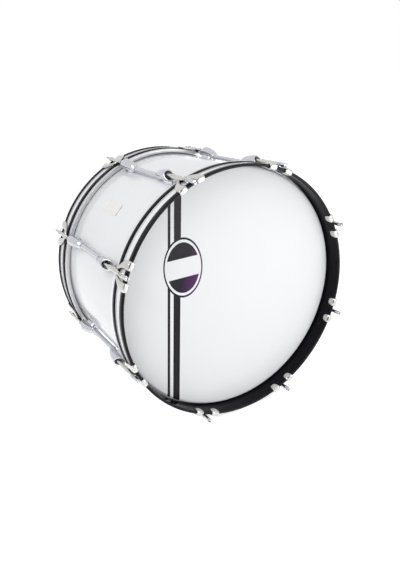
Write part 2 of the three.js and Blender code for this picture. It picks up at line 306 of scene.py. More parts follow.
def join(name, pieces):
    bpy.ops.object.select_all(action="DESELECT")
    for piece in pieces:
        piece.select_set(True)
    bpy.context.view_layer.objects.active = pieces[0]
    bpy.ops.object.join()
    active().name = name
    return active()


def copy_piece(piece, name, place):
    """A copy with a mesh of its own, put in place in its mesh."""
    twin = piece.copy()
    twin.data = piece.data.copy()
    twin.data.transform(place)
    twin.name = name
    bpy.context.scene.collection.objects.link(twin)
    return twin


def discard(piece):
    bpy.data.objects.remove(piece)


def to_side(side):
    """Pieces are made for the +Y side. A half turn about Z gives the -Y side."""
    return Matrix.Rotation(0 if side > 0 else pi, 4, "Z")


def to_station(number):
    """Turns a piece made above the drum's top to its own station round the shell."""
    x, _, z = turn_joints[f"tension_rod_front_{number}"]["pos_m"]
    return Matrix.Rotation(atan2(x, z), 4, "Y")


def paint_faces(piece, index, chosen):
    for face in piece.data.polygons:
        if chosen(face):
            face.material_index = index


class Value:
    """A shader value. Python's sums, products and powers of it add Math nodes."""

    def __init__(self, nodes, output):
        self.nodes = nodes
        self.output = output

    def math(self, operation, first, second=0):
        return self.nodes.node("ShaderNodeMath", {"operation": operation}, {0: first, 1: second})

    def __add__(self, other):
        return self.math("ADD", self, other)

    def __radd__(self, other):
        return self.math("ADD", other, self)

    def __sub__(self, other):
        return self.math("SUBTRACT", self, other)

    def __rsub__(self, other):
        return self.math("SUBTRACT", other, self)

    def __mul__(self, other):
        return self.math("MULTIPLY", self, other)

    def __rmul__(self, other):
        return self.math("MULTIPLY", other, self)

    def __truediv__(self, other):
        return self.math("DIVIDE", self, other)

    def __rtruediv__(self, other):
        return self.math("DIVIDE", other, self)

    def __pow__(self, other):
        return self.math("POWER", self, other)

    def __rpow__(self, other):
        return self.math("POWER", other, self)

    def __gt__(self, other):
        return self.math("GREATER_THAN", self, other)

    def __lt__(self, other):
        return self.math("LESS_THAN", self, other)

    def __abs__(self):
        return self.math("ABSOLUTE", self)


# A Mix node has sockets for each type of value. These are the ones that it uses for colours.
mix_factor = 0
mix_first = 6
mix_second = 7
mix_result = 2


class Nodes:
    """Adds nodes to the tree of a material or of the world."""

    def __init__(self, tree):
        self.tree = tree

    def node(self, kind, settings=None, inputs=None, output=0):
        """Adds a node, sets it up, and returns one of its outputs as a Value."""
        made = self.tree.nodes.new(kind)
        for setting, value in (settings or {}).items():
            setattr(made, setting, value)
        for socket, value in (inputs or {}).items():
            self.feed(made.inputs[socket], value)
        return Value(self, made.outputs[output])

    def feed(self, socket, value):
        if isinstance(value, Value):
            self.tree.links.new(value.output, socket)
        else:
            socket.default_value = value

    def mix(self, factor, first, second):
        """Mixes two colours, each a Value or its red, green and blue."""
        first, second = [(*colour, 1) if isinstance(colour, tuple) else colour for colour in (first, second)]
        inputs = {mix_factor: factor, mix_first: first, mix_second: second}
        return self.node("ShaderNodeMix", {"data_type": "RGBA"}, inputs, mix_result)


class Finish(Nodes):
    """One material, made of a Principled shader and the nodes that feed it."""

    def __init__(self, name, **constants):
        self.material = bpy.data.materials.new(name)
        self.material.use_nodes = True
        super().__init__(self.material.node_tree)
        self.shader = self.tree.nodes["Principled BSDF"]
        for socket, value in constants.items():
            self.set(socket.replace("_", " "), value)

    def set(self, socket, value):
        self.feed(self.shader.inputs[socket], value)

    def place(self):
        return self.node("ShaderNodeTexCoord", output="Object")

    def part(self, vector, axis):
        return self.node("ShaderNodeSeparateXYZ", inputs={0: vector}, output=axis)

    def stretched(self, scale):
        """The place on the piece, scaled along each axis."""
        return self.node("ShaderNodeMapping", inputs={"Vector": self.place(), "Scale": scale})

    def noise(self, scale, detail=2, vector=None, roughness=0.5):
        inputs = {"Vector": vector or self.place(), "Scale": scale, "Detail": detail, "Roughness": roughness}
        return self.node("ShaderNodeTexNoise", inputs=inputs, output="Fac")

    def bump(self, height, distance, strength=1.0):
        inputs = {"Height": height, "Distance": distance, "Strength": strength}
        self.set("Normal", self.node("ShaderNodeBump", inputs=inputs))


def white_covering():
    """The shell's glossy white covering, with the faint waviness of a sheet wrapped on ply."""
    finish = Finish("white_covering", Coat_Weight=0.6, Coat_Roughness=0.04)
    cloud = finish.noise(7, 3)
    finish.set("Base Color", finish.mix(cloud, (0.80, 0.805, 0.825), (0.84, 0.845, 0.86)))
    finish.set("Roughness", finish.noise(60, 2) * 0.08 + 0.16)
    finish.bump(finish.noise(38, 2) + finish.noise(900, 1) * 0.15, 0.00025, 0.25)
    return finish.material


def bare_ply():
    """Ply seen on the shell's inner wall, edges and reinforcing rings."""
    finish = Finish("bare_ply", Specular_IOR_Level=0.3)
    grain = finish.noise(40, 5, finish.stretched((1, 9, 1)))
    glue = ply_layers(finish)
    wood = finish.mix(grain, (0.50, 0.34, 0.19), (0.68, 0.52, 0.34))
    finish.set("Base Color", finish.mix(glue * 0.45, wood, (0.36, 0.22, 0.11)))
    finish.set("Roughness", grain * 0.2 + 0.5)
    finish.bump(grain, 0.0004, 0.4)
    return finish.material


ply_count = 6
glue_share = 0.16


def ply_layers(finish):
    """Dark glue lines between the layers, by distance from the drum's axis."""
    place = finish.place()
    x = finish.part(place, "X")
    z = finish.part(place, "Z")
    layer = (x * x + z * z) ** 0.5 / (shell_wall / ply_count)
    return layer.math("FRACT", layer) < glue_share


# The stripes printed on the batter head. Their edges are distances from the drum's axis, across the
# stripes, at the axis's height, and they lean towards +X.
stripe_lean = radians(5.36)
thin_stripe = (-0.1537, -0.1480)
thick_stripe = (-0.1406, -0.1255)
# A plain oval plaque printed over the stripes: centre, half width and half height of its outer edge, and
# the shares of that size at which its rim ends and its field starts. A bare bar crosses the field.
plaque_centre = (-0.1125, 0.0775)
plaque_size = (0.0430, 0.0610)
plaque_rim = 0.93
plaque_field = 0.84
plaque_bar = 0.32


def band(value, edges):
    return (value > edges[0]) * (value < edges[1])


def printing(finish):
    """Where the stripes and the plaque are printed, and the ink's colour, with a painted sheen on the
    plaque.
    """
    place = finish.place()
    x = finish.part(place, "X")
    z = finish.part(place, "Z")
    across = x - z * tan(stripe_lean)
    stripes = band(across, thin_stripe) + band(across, thick_stripe)
    wide = (x - plaque_centre[0]) / plaque_size[0]
    high = (z - plaque_centre[1]) / plaque_size[1]
    from_centre = (wide * wide + high * high) ** 0.5
    field = (from_centre < plaque_field) * (abs(high) > plaque_bar)
    plaque = band(from_centre, (plaque_rim, 1)) + field
    ink = stripes * (from_centre > 1) + plaque
    black = finish.mix(finish.noise(90, 2), (0.007, 0.006, 0.008), (0.014, 0.012, 0.016))
    # Painted sheen: the plaque's black ink turns purple towards its lower right, a reflection painted into
    # the colour.
    painted_sheen = (wide * 0.9 - high * 0.5 - 0.1) * plaque
    return ink, finish.mix(painted_sheen, black, (0.12, 0.02, 0.16))


def film_finish(name, printed):
    """The heads' white film: coated, slightly mottled, and printed on the batter side."""
    finish = Finish(name, Specular_IOR_Level=0.14)
    cloud = finish.noise(5, 4)
    speckle = finish.noise(1400, 1)
    colour = finish.mix(cloud, (0.81, 0.82, 0.825), (0.85, 0.855, 0.86))
    roughness = speckle * 0.12 + 0.34
    if printed:
        ink, ink_colour = printing(finish)
        colour = finish.mix(ink, colour, ink_colour)
        roughness = roughness - ink * 0.1
    finish.set("Base Color", colour)
    finish.set("Roughness", roughness)
    finish.bump(speckle, 0.00004, 0.3)
    return finish.material


def black_lacquer(name, shine):
    """The hoops' black satin lacquer, over wood whose grain runs round the hoop."""
    finish = Finish(name, Specular_IOR_Level=shine)
    grain = finish.noise(16, 6, finish.stretched((1, 14, 1)), 0.6)
    finish.set("Base Color", finish.mix(grain, (0.002, 0.0015, 0.003), (0.006, 0.005, 0.008)))
    finish.set("Roughness", grain * 0.1 + 0.12)
    finish.bump(grain + finish.noise(500, 2) * 0.3, 0.00022, 0.4)
    return finish.material


def inlay_strip():
    finish = Finish("inlay_strip", Coat_Weight=0.5, Coat_Roughness=0.06)
    cloud = finish.noise(30, 3)
    finish.set("Base Color", finish.mix(cloud, (0.80, 0.80, 0.83), (0.86, 0.86, 0.88)))
    finish.set("Roughness", cloud * 0.1 + 0.16)
    finish.bump(finish.noise(80, 2), 0.0002, 0.2)
    return finish.material


def plated(name, dark, light, roughness, wave):
    """Polished plating over a casting. The waves are what polishing leaves."""
    finish = Finish(name, Metallic=1.0)
    cloud = finish.noise(45, 3)
    finish.set("Base Color", finish.mix(cloud, dark, light))
    finish.set("Roughness", finish.noise(220, 3) * 0.06 + roughness)
    finish.bump(finish.noise(130, 2), wave, 0.35)
    return finish.material


def raw_casting():
    """The unpolished inside of a lug's bell."""
    finish = Finish("raw_casting", Metallic=0.45)
    swirls = finish.noise(170, 2)
    finish.set("Base Color", finish.mix(swirls, (0.55, 0.55, 0.57), (0.80, 0.80, 0.82)))
    finish.set("Roughness", finish.noise(600, 2) * 0.1 + 0.1)
    finish.bump(swirls, 0.0012, 0.6)
    return finish.material


def channel_metal(name, dark, light):
    """A head's rolled aluminium channel, with fine lines round it."""
    finish = Finish(name, Metallic=0.9)
    lines = finish.noise(60, 3, finish.stretched((1, 60, 1)))
    finish.set("Base Color", finish.mix(lines, dark, light))
    finish.set("Roughness", lines * 0.1 + 0.28)
    finish.bump(lines, 0.00003, 0.3)
    return finish.material


def badge_plate():
    finish = Finish("badge_plate", Metallic=0.2, Coat_Weight=0.6, Coat_Roughness=0.08)
    brushing = finish.noise(900, 2, finish.stretched((1, 12, 1)))
    finish.set("Base Color", finish.mix(brushing, (0.80, 0.785, 0.74), (0.85, 0.84, 0.81)))
    finish.set("Roughness", brushing * 0.12 + 0.22)
    finish.bump(brushing, 0.00003, 0.2)
    return finish.material


white = white_covering()
ply = bare_ply()
batter_film = film_finish("batter_film", printed=True)
resonant_film = film_finish("resonant_film", printed=False)
lacquer = black_lacquer("black_lacquer", 0.08)
edge_lacquer = black_lacquer("edge_lacquer", 0.16)
inlay = inlay_strip()
chrome = plated("chrome_plating", (0.52, 0.53, 0.57), (0.62, 0.63, 0.66), 0.06, 0.00018)
claw_plating = plated("claw_plating", (0.50, 0.495, 0.48), (0.67, 0.665, 0.645), 0.08, 0.0004)
nickel = plated("nickel_plating", (0.58, 0.57, 0.56), (0.68, 0.67, 0.65), 0.14, 0.0001)
casting = raw_casting()
# Both channels are the same aluminium. The rear copy is darker: painted shade where it sits under the rear
# hoop.
channels = {"front": channel_metal("front_channel_metal", (0.74, 0.745, 0.76), (0.80, 0.805, 0.82)),
            "rear": channel_metal("rear_channel_painted_shade", (0.60, 0.60, 0.61), (0.68, 0.68, 0.69))}
badge_metal = badge_plate()


def set_materials(piece, *materials):
    piece.data.materials.clear()
    for material in materials:
        piece.data.materials.append(material)


def settle(piece, body, node):
    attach(piece, body)
    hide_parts(node)


def make_shell():
    """The covered ply shell, with a rounded bearing edge at each end."""
    inner = shell_radius - shell_wall
    crest = shell_radius - bearing_round
    rounded = arc((crest, shell_edge - bearing_round), (bearing_round, bearing_round), 90, 0, 5)
    rim = [(inner, shell_edge - bearing_drop), *rounded]
    other_rim = [(radius, -y) for radius, y in reversed(rim)]
    shell = turned_ring("covered_shell", [*rim, *other_rim])
    drill_vent(shell)
    smooth(shell, angle=30)
    set_materials(shell, white, ply)
    middle = shell_radius - shell_wall / 2
    paint_faces(shell, 1, lambda face: hypot(face.center.x, face.center.z) < middle)
    settle(shell, "drum", "shell")


def drill_vent(shell):
    """Drills the hole that the vent's eyelet sits in."""
    vent_radius = 0.0062
    bpy.ops.object.select_all(action="DESELECT")
    bpy.ops.mesh.primitive_cylinder_add(vertices=boss_steps, radius=vent_radius, depth=4 * shell_wall,
                                        location=(shell_radius, 0, 0), rotation=(0, pi / 2, 0))
    apply_place()
    drill = active()
    use_modifier(shell, "BOOLEAN", operation="DIFFERENCE", object=drill)
    discard(drill)


def make_ply_ring(label, side):
    """The reinforcing ring inside one end of the shell."""
    inner = ply_radius - ply_wall
    outline = [(ply_radius, ply_top), (ply_radius, ply_bottom),
               (inner, ply_bottom + ply_bevel), (inner, ply_top - ply_bevel)]
    ring = turned_ring(f"{label}_ply_ring", outline)
    ring.data.transform(to_side(side))
    round_edges(ring, width=0.0006, segments=2)
    smooth(ring)
    set_materials(ring, ply)
    settle(ring, "drum", f"{label}_reinforcing_ring")


def make_head(label, side, material):
    """A stretched film with its collar and the skirt that is held in its channel."""
    crest = shell_radius - bearing_round
    collar = skirt_radius - crest
    skirt_end = film_face - skirt_drop
    outer = arc((crest, film_face - collar), (collar, collar), 90, 0, 8)
    under = arc((crest, film_face - collar), (collar - film, collar - film), 0, 90, 8)
    outline = [(film_centre, film_face), (crest / 2, film_face), *outer,
               (skirt_radius, skirt_end), (skirt_radius - film, skirt_end),
               *under, (crest / 2, film_face - film), (film_centre, film_face - film)]
    head = turned_solid(f"{label}_film", turned_loops(outline), "Y", ring_steps)
    head.data.transform(to_side(side))
    smooth(head, angle=50)
    set_materials(head, material)
    settle(head, "drum", f"{label}_head")


def make_flesh_hoop(label, side):
    """The metal channel that holds a head's skirt in its slot."""
    slot_inner = flesh_inner + flesh_lip
    slot_outer = slot_inner + flesh_slot
    slot_floor = flesh_top - flesh_slot_depth
    outline = [(flesh_inner, flesh_bottom), (flesh_radius, flesh_bottom), (flesh_radius, flesh_top),
               (slot_outer, flesh_top), (slot_outer, slot_floor), (slot_inner, slot_floor),
               (slot_inner, flesh_top), (flesh_inner, flesh_top)]
    hoop = turned_ring(f"{label}_channel", outline)
    hoop.data.transform(to_side(side))
    round_edges(hoop, width=0.0006, segments=3)
    smooth(hoop)
    set_materials(hoop, channels[label])
    settle(hoop, "drum", f"{label}_flesh_hoop")


def make_hoop(label, side):
    """The deep wooden hoop, with a groove for its inlay and a glossier free edge."""
    inner = hoop_radius - hoop_wall
    groove_floor = inlay_radius - inlay_thickness
    groove_inner = inlay_inner_edge - inlay_seam
    groove_outer = inlay_outer_edge + inlay_seam
    outline = [(inner, hoop_base), (hoop_radius, hoop_base),
               (hoop_radius, groove_inner), (groove_floor, groove_inner),
               (groove_floor, groove_outer), (hoop_radius, groove_outer),
               (hoop_radius, free_edge), (inner, free_edge)]
    hoop = turned_ring(f"{label}_wood_hoop", outline)
    hoop.data.transform(to_side(side))
    round_ring_edges(hoop, side * free_edge, free_edge_round, segments=6)
    round_ring_edges(hoop, side * hoop_base, base_round, segments=3)
    round_edges(hoop, width=0.0002, segments=2, angle=60)
    smooth(hoop)
    set_materials(hoop, lacquer, edge_lacquer)
    paint_faces(hoop, 1, lambda face: abs(face.center.y) > free_edge - free_edge_round)
    settle(hoop, "drum", f"{label}_hoop")


def round_ring_edges(piece, level, width, segments):
    """Bevels the loops round the drum that lie at one y."""
    clear_selection(piece)
    mesh = piece.data
    for edge in mesh.edges:
        ends = [mesh.vertices[i].co for i in edge.vertices]
        radii = [hypot(end.x, end.z) for end in ends]
        at_level = all(abs(end.y - level) < same_place for end in ends)
        edge.select = at_level and abs(radii[0] - radii[1]) < same_place
    edit("EDGE")
    bpy.ops.mesh.bevel(offset=width, segments=segments, affect="EDGES")
    leave_edit()


def make_inlay(label, side):
    """The white strip in the hoop's groove."""
    floor = inlay_radius - inlay_thickness
    outline = [(floor, inlay_outer_edge), (inlay_radius, inlay_outer_edge),
               (inlay_radius, inlay_inner_edge), (floor, inlay_inner_edge)]
    strip = turned_ring(f"{label}_inlay_strip", outline)
    strip.data.transform(to_side(side))
    round_edges(strip, width=0.0003, segments=2)
    smooth(strip)
    set_materials(strip, inlay)
    settle(strip, "drum", f"{label}_hoop_inlay")


def bell_loops(inset, start, end, count):
    """Loops of a lug's bell between two places on its length. It swells fast at first, as a cast bell does,
    and draws in a little towards its mouth."""
    swell = 0.55
    draw_in = 0.05
    length = bell_end - bell_start
    loops = []
    for i in range(count + 1):
        y = start + (end - start) * i / count
        share = min(max((y - bell_start) / length, 0), 1)
        growth = sin(pi / 2 * share ** swell)
        swelled = socket_radius + (bell_radius - socket_radius) * growth
        radius = swelled * (1 - draw_in * share ** 4) - inset
        height = shell_radius + tube_height + (bell_height - tube_height) * growth
        loops.append(((0, y, height), (radius, radius)))
    return loops


def lug_skin():
    """Half a lug's skin in one run: the tube from the lug's middle, the socket that it enters, the bell, its
    rounded rim, and the cavity down to its floor."""
    rim_turns = [pi * i / 6 for i in range(1, 6)]
    floor_shares = (0.75, 0.02)
    axis = shell_radius + tube_height
    step = bell_start - socket_step
    sleeve = socket_radius - socket_step / 4
    tube = [((0, 0, axis), (tube_radius, tube_radius)),
            ((0, step, axis), (tube_radius, tube_radius)),
            ((0, step, axis), (socket_radius - socket_step, socket_radius - socket_step)),
            ((0, step + socket_step / 2, axis), (sleeve, sleeve))]
    bell = bell_loops(0, bell_start, bell_end, 22)
    rim = [bell_loops(bell_wall / 2 * (1 - cos(turn)), bell_end, bell_end + bell_wall / 2 * sin(turn), 1)[-1]
           for turn in rim_turns]
    cavity = bell_loops(bell_wall, bell_end, cavity_floor + floor_round, 12)
    floor_centre = (0, cavity_floor, cavity[-1][0][2])
    floors = [(floor_centre, (cavity[-1][1][0] * share,) * 2) for share in floor_shares]
    start_loop(*tube[0], "Y", bell_steps, capped=False)
    extrude_loops([*tube, *bell, *rim, *cavity, *floors], "Y")
    bpy.ops.mesh.edge_face_add()
    skin = finish_mesh("half_lug")
    set_materials(skin, chrome, casting)
    paint_faces(skin, 1, faces_inwards)
    slant_mouth(skin)
    return skin


def faces_inwards(face):
    """True for the cavity's faces: they look towards the bell's middle line, or out from its floor."""
    floor_margin = 0.0002
    lean = 0.2
    in_bell = face.center.y > cavity_floor - floor_margin
    middle = bell_loops(0, face.center.y, face.center.y, 1)[0][0] if in_bell else (0, 0, 0)
    outwards = Vector((face.center.x, 0, face.center.z - middle[2]))
    looks_in = face.normal.dot(outwards) < lean * outwards.length
    return in_bell and looks_in and outwards.length < bell_radius - bell_wall / 2


def slant_mouth(skin):
    """Leans the mouth back, away from the shell, and lets the lean fade towards the cavity's floor."""
    margin = 0.004
    across = 2 * bell_radius + margin
    near = shell_radius + bell_height - across / 2
    for vertex in skin.data.vertices:
        share = min(max((vertex.co.y - cavity_floor) / (bell_end - cavity_floor), 0), 1)
        vertex.co.y -= share * (vertex.co.z - near) * bell_slant / across


def lug_foot():
    """The oval pedestal that carries a bell. It is flared at the shell and runs up into the bell."""
    # Height, half width and half length
    ovals = [(0.0002, 0.0090, 0.0200), (0.0009, 0.0090, 0.0200), (0.0014, 0.0087, 0.0197),
             (0.0022, 0.0082, 0.0192), (0.0044, 0.0079, 0.0188), (0.0062, 0.0075, 0.0184),
             (0.0073, 0.0069, 0.0176)]
    loops = [((0, foot_centre, shell_radius + height), (half_width, half_length))
             for height, half_width, half_length in ovals]
    return turned_solid("foot", loops, "Z", bell_steps)


def lug_nut():
    """The threaded nut at the bottom of a bell."""
    chamfer = 0.0006
    foot = cavity_floor - bell_wall
    bore = rod_radius + seat_gap
    outline = [(nut_radius, foot), (nut_radius, nut_top - chamfer), (nut_radius - chamfer, nut_top),
               (bore, nut_top), (bore, foot)]
    return turned_ring("nut", outline, nut_steps, rod_circle)


def make_lugs():
    skin = lug_skin()
    smooth(skin)
    foot = lug_foot()
    smooth(foot, angle=50)
    set_materials(foot, chrome)
    nut = lug_nut()
    round_edges(nut, width=0.0003, segments=2)
    smooth(nut, angle=30)
    set_materials(nut, nickel)
    half = join("half_lug", [skin, foot, nut])
    other = copy_piece(half, "other_half", to_side(-1))
    join("lug", [half, other])
    edit()
    lug = finish_mesh("lug")
    for number in stations:
        made = copy_piece(lug, f"tube_lug_{number}", to_station(number))
        settle(made, "drum", f"lug_{number}")
    discard(lug)


def arm_cage():
    """One arm of a claw and its hook, drawn flat: the pad over the hoop, the arm to the root, then the
    web over the free edge and the lip inside it."""
    plate_middle = hoop_radius + claw_gap + plate_side / 2
    pad_end = free_edge + claw_gap
    bpy.ops.object.select_all(action="DESELECT")
    bpy.ops.mesh.primitive_cube_add(size=1, location=(hook_centre, pad_end - pad_length / 2, plate_middle))
    cage = active()
    cage.scale = (2 * hook_half_width, pad_length, plate_side)
    apply_place()
    extrude_arm(cage, plate_middle)
    extrude_hook(cage)
    return cage


def extrude_face(piece, direction, nearest, step, scale=(1, 1, 1)):
    """Extrudes the one face that looks in a direction and lies nearest to a point, then scales it about its
    new centre."""
    squareness = 0.8
    clear_selection(piece)
    facing = [face for face in piece.data.polygons if face.normal.dot(Vector(direction)) > squareness]
    chosen = min(facing, key=lambda face: (face.center - Vector(nearest)).length)
    chosen.select = True
    centre = chosen.center.copy()
    edit("FACE")
    bpy.ops.mesh.extrude_region_move(TRANSFORM_OT_translate={"value": step})
    if scale != (1, 1, 1):
        bpy.ops.transform.resize(value=scale, center_override=centre + Vector(step))
    leave_edit()


def extrude_arm(cage, middle):
    """The arm narrows from the pad to its root under the boss, and thickens there."""
    x, width, y, height = hook_centre, 2 * hook_half_width, free_edge + claw_gap - pad_length, middle
    for next_x, next_width, next_y, lift, thickness in arm_steps:
        step = (next_x - x, next_y - y, lift)
        extrude_face(cage, (0, -1, 0), (x, y, height), step, (next_width / width, 1, thickness))
        x, width, y, height = next_x, next_width, next_y, height + lift


def extrude_hook(cage):
    """The web crosses the hoop's free edge, and the lip lies on the hoop's inner wall."""
    top = hoop_radius + claw_gap + plate_side
    bottom = hoop_radius + claw_gap
    web_middle = free_edge + claw_gap + web_side / 2
    lip_top = hoop_radius - hoop_wall - claw_gap
    lip_middle = lip_top - lip_side / 2
    extrude_face(cage, (0, 1, 0), (hook_centre, free_edge, top), (0, web_side, 0))
    extrude_face(cage, (0, 0, -1), (hook_centre, web_middle, bottom), (0, 0, lip_top - bottom))
    extrude_face(cage, (0, 0, -1), (hook_centre, web_middle, lip_top), (0, 0, -lip_side))
    share, reach = 0, 0
    for next_share in lip_shares:
        narrowing = ((1 - next_share ** lip_bluntness) / (1 - share ** lip_bluntness)) ** (1 / lip_bluntness)
        step = (next_share - share) * lip_length
        end = (hook_centre, free_edge - reach, lip_middle)
        extrude_face(cage, (0, -1, 0), end, (0, -step, 0), (narrowing, 1, 1))
        share, reach = next_share, next_share * lip_length


def dome(piece, direction, below=1.0):
    """Swells all the faces that look in a direction and lie below a height, as a casting's back is."""
    squareness = 0.9
    clear_selection(piece)
    for face in piece.data.polygons:
        face.select = face.normal.dot(Vector(direction)) > squareness and face.center.z < below
    edit("FACE")
    for inset, rise in dome_steps:
        bpy.ops.mesh.inset(thickness=inset, depth=rise)
    leave_edit()


def claw_arms():
    """Both arms of a claw, domed and smoothed as a casting is, and bent to the drum's curve."""
    arm = arm_cage()
    use_modifier(arm, "BEVEL", width=0.0009, segments=1, limit_method="ANGLE", angle_limit=radians(50),
                 use_clamp_overlap=False)
    dome(arm, (0, 1, 0))
    dome(arm, (0, 0, 1))
    dome(arm, (0, 0, -1), hoop_radius - hoop_wall)
    use_modifier(arm, "SUBSURF", levels=2, render_levels=2)
    edit()
    bpy.ops.mesh.select_all(action="SELECT")
    bpy.ops.mesh.vertices_smooth(factor=0.5, repeat=24)
    leave_edit()
    use_modifier(arm, "MIRROR", use_axis=(True, False, False))
    wrap_round(arm, hoop_radius)
    smooth(arm, angle=60)
    return arm


def claw_boss():
    """The long boss that the rod passes through, with a bead at each end and one at the arms' root."""
    bead = 0.0004
    bead_length = 0.003
    end_slope = 0.0006
    root_slope = 0.004
    waist = boss_radius - bead
    root = arm_steps[-2][2]
    root_waist = bead_length + root_slope
    end_waist = bead_length + end_slope
    outline = [(bore_radius, boss_start), (boss_radius, boss_start), (boss_radius, boss_start + bead_length),
               (waist, boss_start + end_waist), (waist, root - root_waist),
               (boss_radius, root - bead_length), (boss_radius, root + bead_length),
               (waist, root + root_waist), (waist, boss_end - end_waist),
               (boss_radius, boss_end - bead_length), (boss_radius, boss_end), (bore_radius, boss_end)]
    boss = turned_ring("boss", outline, boss_steps, rod_circle)
    round_edges(boss, width=0.0005, segments=3)
    smooth(boss)
    return boss


def make_claws():
    claw = join("claw", [claw_arms(), claw_boss()])
    set_materials(claw, claw_plating)
    for label, side in sides.items():
        for number in stations:
            place = to_station(number) @ to_side(side)
            made = copy_piece(claw, f"hoop_claw_{label}_{number}", place)
            settle(made, "drum", f"claw_{label}_{number}")
    discard(claw)


def rod_thread():
    """The rod's thread, from its end in the nut to the boss, as one helix."""
    thread_in_boss = 0.004
    root = rod_radius - thread_depth
    turns = int((boss_start + thread_in_boss - rod_end) / thread_pitch)
    # Radius, and share of the pitch
    profile = [(root, 0), (rod_radius, 0.4), (rod_radius, 0.55), (root, 0.95), (root, 1)]
    bpy.ops.object.select_all(action="DESELECT")
    bpy.ops.mesh.primitive_plane_add(size=1)
    thread = active()
    edit()
    bpy.ops.mesh.select_all(action="SELECT")
    bpy.ops.mesh.merge(type="CENTER")
    bpy.ops.transform.translate(value=(root, 0, 0))
    for (radius, share), (next_radius, next_share) in pairwise(profile):
        step = (next_radius - radius, (next_share - share) * thread_pitch, 0)
        bpy.ops.mesh.extrude_region_move(TRANSFORM_OT_translate={"value": step})
    leave_edit()
    use_modifier(thread, "SCREW", axis="Y", angle=2 * pi, screw_offset=thread_pitch, iterations=turns,
                 steps=thread_steps, render_steps=thread_steps, use_merge_vertices=True,
                 merge_threshold=merge_distance)
    edit()
    bpy.ops.mesh.select_all(action="SELECT")
    bpy.ops.mesh.remove_doubles(threshold=merge_distance)
    bpy.ops.mesh.select_all(action="DESELECT")
    bpy.ops.mesh.select_non_manifold()
    bpy.ops.mesh.fill_holes(sides=0)
    finish_mesh("thread")
    thread.data.transform(Matrix.Translation((0, rod_end, rod_circle)))
    return thread


def rod_head():
    """The rod's plain shank, its washer and collar, and the round grip with its slot."""
    point_radius = 0.0023
    shank_radius = rod_radius - 0.0001
    washer_radius = 0.0053
    groove_radius = 0.0044
    collar_radius = 0.0050
    neck_radius = 0.0032
    grip_radius = 0.0042
    tip_radius = 0.0036
    chamfer = 0.0008
    washer_foot = boss_end + seat_gap
    washer_top = washer_foot + 0.001
    collar_foot = washer_top + 0.0002
    collar_top = washer_foot + 0.0034
    grip_foot = collar_top + 0.0022
    outline = [(point_radius, boss_start), (shank_radius, boss_start + 0.0004), (shank_radius, washer_foot),
               (washer_radius, washer_foot), (washer_radius, washer_top), (groove_radius, washer_top),
               (groove_radius, collar_foot), (collar_radius, collar_foot), (collar_radius, collar_top),
               (neck_radius, collar_top), (neck_radius, grip_foot - chamfer), (grip_radius, grip_foot),
               (grip_radius, rod_tip - chamfer), (tip_radius, rod_tip)]
    head = turned_solid("rod_head", turned_loops(outline, rod_circle), "Y", rod_steps)
    cut_slot(head)
    round_edges(head, width=0.00025, segments=2)
    smooth(head)
    return head


def cut_slot(head):
    """Cuts the slot across the grip's tip."""
    slot_width = 0.0026
    slot_depth = 0.007
    cutter_length = 0.02
    bpy.ops.object.select_all(action="DESELECT")
    bpy.ops.mesh.primitive_cube_add(size=1, location=(0, rod_tip, rod_circle))
    cutter = active()
    cutter.scale = (cutter_length, 2 * slot_depth, slot_width)
    apply_place()
    use_modifier(head, "BOOLEAN", operation="DIFFERENCE", object=cutter)
    discard(cutter)


def make_rods():
    thread = rod_thread()
    smooth(thread, angle=60)
    set_materials(thread, nickel)
    head = rod_head()
    set_materials(head, chrome)
    rod = join("rod", [thread, head])
    for label, side in sides.items():
        for number in stations:
            name = f"tension_rod_{label}_{number}"
            place = to_station(number) @ to_side(side)
            made = copy_piece(rod, f"key_rod_{label}_{number}", place)
            settle(made, name, name)
    discard(rod)


def make_badge():
    """A blank plate that follows the shell, with a raised border."""
    low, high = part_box("badge")
    centre = (low + high) / 2
    width = 0.027
    thickness = 0.0009
    corner = 0.002
    border = 0.0012
    border_height = 0.0002
    strips = 14
    bpy.ops.object.select_all(action="DESELECT")
    bpy.ops.mesh.primitive_plane_add(size=1)
    plate = active()
    plate.scale = (width, high.y - low.y, 1)
    apply_place()
    edit()
    bpy.ops.mesh.select_all(action="SELECT")
    bpy.ops.mesh.bevel(offset=corner, segments=5, affect="VERTICES")
    bpy.ops.mesh.select_all(action="SELECT")
    bpy.ops.mesh.inset(thickness=border)
    bpy.ops.mesh.inset(thickness=border_height, depth=-border_height)
    for i in range(1, strips):
        bpy.ops.mesh.select_all(action="SELECT")
        bpy.ops.mesh.bisect(plane_co=(width * (i / strips - 0.5), 0, 0), plane_no=(1, 0, 0))
    leave_edit()
    use_modifier(plate, "SOLIDIFY", thickness=thickness - border_height, offset=-1)
    face = shell_radius + seat_gap + thickness
    plate.data.transform(Matrix.Translation((0, centre.y, face)))
    wrap_round(plate, face)
    plate.data.transform(Matrix.Rotation(atan2(centre.x, centre.z), 4, "Y"))
    plate.name = "blank_badge"
    round_edges(plate, width=0.00015, segments=2)
    smooth(plate, angle=30)
    set_materials(plate, badge_metal)
    settle(plate, "drum", "badge")


def make_vent():
    """The eyelet in the shell's air vent."""
    low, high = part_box("vent_grommet")
    bore = 0.004
    barrel = 0.0059
    flange = 0.0105
    crown_round = 0.0014
    lip_round = 0.0008
    seat = shell_radius + seat_gap
    crown = arc((flange - crown_round, seat), (crown_round, high.x - seat), 0, 90, 5)
    lip = arc((bore + lip_round, high.x - lip_round), (lip_round, lip_round), 90, 180, 4)
    outline = [(bore, low.x), (barrel, low.x), (barrel, seat), *crown, *lip]
    vent = turned_ring("vent_eyelet", outline, eyelet_steps)
    vent.data.transform(Matrix.Rotation(-pi / 2, 4, "Z"))
    smooth(vent)
    set_materials(vent, chrome)
    settle(vent, "drum", "vent_grommet")


def make_drum():
    make_shell()
    films = {"front": batter_film, "rear": resonant_film}
    for label, side in sides.items():
        make_ply_ring(label, side)
        make_head(label, side, films[label])
        make_flesh_hoop(label, side)
        make_hoop(label, side)
        make_inlay(label, side)
    make_lugs()
    make_claws()
    make_rods()
    make_badge()
    make_vent()


